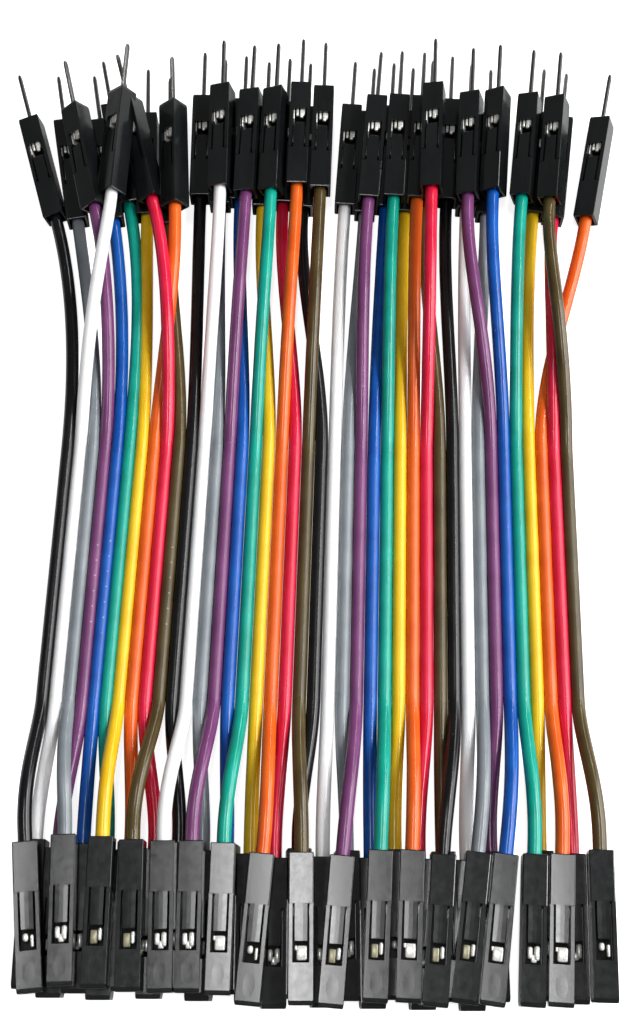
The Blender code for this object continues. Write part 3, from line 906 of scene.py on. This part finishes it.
def wire_outline(lead, y):
    """A wire's outline at y, as places across and up: round, a little uneven, with a ridge on each side."""
    gap = WIRE_PITCH / 2 - WIRE_RADIUS
    right, left = gap * web_share(y, lead), gap * web_share(y, lead - 1)
    radius = WIRE_RADIUS * (1 + SWELL * noise.noise(Vector((lead * 3.1, y / SWELL_LENGTH, 0.5))))
    points = []
    for i in range(WIRE_SIDES):
        angle = math.tau * i / WIRE_SIDES
        across, rise = math.cos(angle), math.sin(angle)
        x = radius * across
        if abs(rise) < RIDGE_HEIGHT:
            most = RIDGE_REACH * 0.5 + (right if across > 0 else left)
            ridge = most * (1 - abs(rise) / RIDGE_HEIGHT) + (most * 0.5 if abs(rise) > RIDGE_FLANK else 0)
            x += math.copysign(min(ridge, most), across)
        points.append((x, radius * rise))
    return points


def make_wire(name, lead, material):
    """A soft wire with a faint tear ridge along each side, which meets its neighbours' in the bonded part."""
    centres = wire_points(lead, SPLIT_RINGS, BOND_RINGS)
    bonds = [bonded_share(centre.y) for centre in centres]
    lengths = [0.0]
    for first, second in zip(centres, centres[1:]):
        lengths.append(lengths[-1] + (second - first).length)
    form = bmesh.new()
    along_layer = form.loops.layers.uv.new("along")
    bond_layer = form.loops.layers.uv.new("bonded")
    rings = []
    for number, centre in enumerate(centres):
        before = centres[max(number - 1, 0)]
        after = centres[min(number + 1, len(centres) - 1)]
        way = (after - before).normalized()
        side = way.cross(Vector((0, 0, 1))).normalized()
        up = side.cross(way).normalized()
        rings.append([form.verts.new(centre + side * x + up * z) for x, z in wire_outline(lead, centre.y)])
    for number, (first, second) in enumerate(zip(rings, rings[1:])):
        for i in range(WIRE_SIDES):
            j = (i + 1) % WIRE_SIDES
            face = form.faces.new((first[i], second[i], second[j], first[j]))
            places = ((i, number), (i, number + 1), (i + 1, number + 1), (i + 1, number))
            for loop, (turn, row) in zip(face.loops, places):
                loop[along_layer].uv = (turn / WIRE_SIDES, lengths[row] / (WIRE_RADIUS * math.tau))
                loop[bond_layer].uv = (bonds[row], 0.5)
    form.faces.new(rings[0])
    form.faces.new(rings[-1][::-1])
    mesh = to_mesh(form, name)
    smooth_mesh(mesh, WIRE_SMOOTH)
    mesh.materials.append(material)
    return link(name, mesh), lengths[-1]


# Light, floor and camera

def aim(item, target):
    way = Vector(target) - item.location
    item.rotation_euler = way.to_track_quat("-Z", "Y").to_euler()


def add_panel(name, place, target, width, height, radiance):
    """A soft light panel; its power comes from how bright its surface is."""
    data = bpy.data.lights.new(name, "AREA")
    data.shape = "RECTANGLE"
    data.size, data.size_y = width, height
    data.energy = radiance * math.pi * width * height
    item = link(name, data)
    item.location = place
    aim(item, target)


def make_camera():
    data = bpy.data.cameras.new("camera")
    data.sensor_width = SENSOR_WIDTH
    data.lens = LENS
    data.clip_start, data.clip_end = 0.005, 10.0
    camera = link("camera", data)
    way = Vector((0, -math.cos(CAMERA_ELEVATION), math.sin(CAMERA_ELEVATION)))
    camera.location = PART_SHIFT + way * CAMERA_DISTANCE
    aim(camera, PART_SHIFT)
    bpy.context.scene.camera = camera


def make_floor():
    """A pale floor that looks white to the camera and keeps the shadow."""
    form = bmesh.new()
    bmesh.ops.create_grid(form, x_segments=1, y_segments=1, size=FLOOR_REACH)
    mesh = bpy.data.meshes.new("floor")
    form.to_mesh(mesh)
    form.free()
    floor = link("floor", mesh)
    floor.location.z = -FLOOR_DEPTH
    material, tree, shader = new_material("floor_white", 0.9, specular=0.0)
    shader.inputs["Base Color"].default_value = (0.8, 0.8, 0.8, 1)
    shader.inputs["Emission Color"].default_value = (1, 1, 1, 1)
    path = tree.nodes.new("ShaderNodeLightPath")
    glow = add_math(tree, "MULTIPLY", path.outputs["Is Camera Ray"], FLOOR_GLOW)
    tree.links.new(glow, shader.inputs["Emission Strength"])
    mesh.materials.append(material)


def make_world():
    """White to the camera, and a faint even light on everything else."""
    world = bpy.data.worlds.new("studio")
    bpy.context.scene.world = world
    world.use_nodes = True
    tree = world.node_tree
    ground = tree.nodes["Background"]
    ground.inputs["Color"].default_value = (1, 1, 1, 1)
    path = tree.nodes.new("ShaderNodeLightPath")
    strength = add_range(tree, path.outputs["Is Camera Ray"], 0, 1, WORLD_LIGHT, 1.0)
    tree.links.new(strength, ground.inputs["Strength"])


# The pieces

def make_masters():
    """For each kind of wire end, the meshes of its housing, its contacts by style, and its strands."""
    plastic, copper = make_plastic_material(), make_copper_material()
    tins = [make_tin_material(*tin) for tin in TINS]
    strands = make_strands("strands_master")
    strands.materials.append(copper)
    contacts = {
        "pin": {"lobes": make_pin_contact("pin_contact_lobes")},
        "socket": {style: make_socket_contact(f"socket_contact_{style}", style) for style in SOCKET_FOLDS},
    }
    masters = {}
    for kind in ("pin", "socket"):
        housing = make_housing(f"{kind}_housing_master", kind)
        housing.materials.append(plastic)
        for contact in contacts[kind].values():
            for tin in tins:
                contact.materials.append(tin)
        masters[kind] = (housing, contacts[kind], strands)
    return masters


def contact_style(kind, lead):
    if kind == "socket":
        for style, leads in SOCKET_STYLES.items():
            if lead in leads:
                return style
    return "lobes"


def add_wire_end(kind, lead, node, matrix, masters):
    """One housing with its contact and strands, in place of the part's own."""
    housing, contacts, strands = masters[kind]
    contact = contacts[contact_style(kind, lead)]
    for part, master in (("housing", housing), ("contact", contact), ("strands", strands)):
        mesh = master.copy()
        mesh.transform(matrix)
        piece = link(f"{kind}_{part}_{lead + 1:02d}", mesh)
        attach(piece, "root")
        if part == "housing":
            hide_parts(node)


def add_wire(lead, insulation):
    colour = COLOURS[lead % len(COLOURS)]
    name = f"{lead + 1:02d}_{colour}"
    piece, length = make_wire(f"insulated_wire_{name}", lead, insulation[colour, lead in MARKED_LEADS])
    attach(piece, "root")
    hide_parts(f"wire_{name}")
    route = wire_points(lead, PATH_SPLIT_POINTS, PATH_BOND_POINTS)


def build():
    bpy.context.scene.view_settings.view_transform = "Standard"
    make_camera()
    make_world()
    make_floor()
    for name, panel in PANELS.items():
        add_panel(name, *panel)

    masters = make_masters()
    for kind, rows, towards, nodes in (("pin", PIN_ROWS, 1, PIN_NODES),
                                       ("socket", SOCKET_ROWS, -1, SOCKET_NODES)):
        for node, leads in nodes.items():
            for lead in leads:
                add_wire_end(kind, lead, node, housing_place(rows[lead], towards)[2], masters)

    looks = {(COLOURS[lead % len(COLOURS)], lead in MARKED_LEADS) for lead in range(LEAD_COUNT)}
    insulation = {look: make_wire_material(*look) for look in sorted(looks)}
    for lead in range(LEAD_COUNT):
        add_wire(lead, insulation)


build()
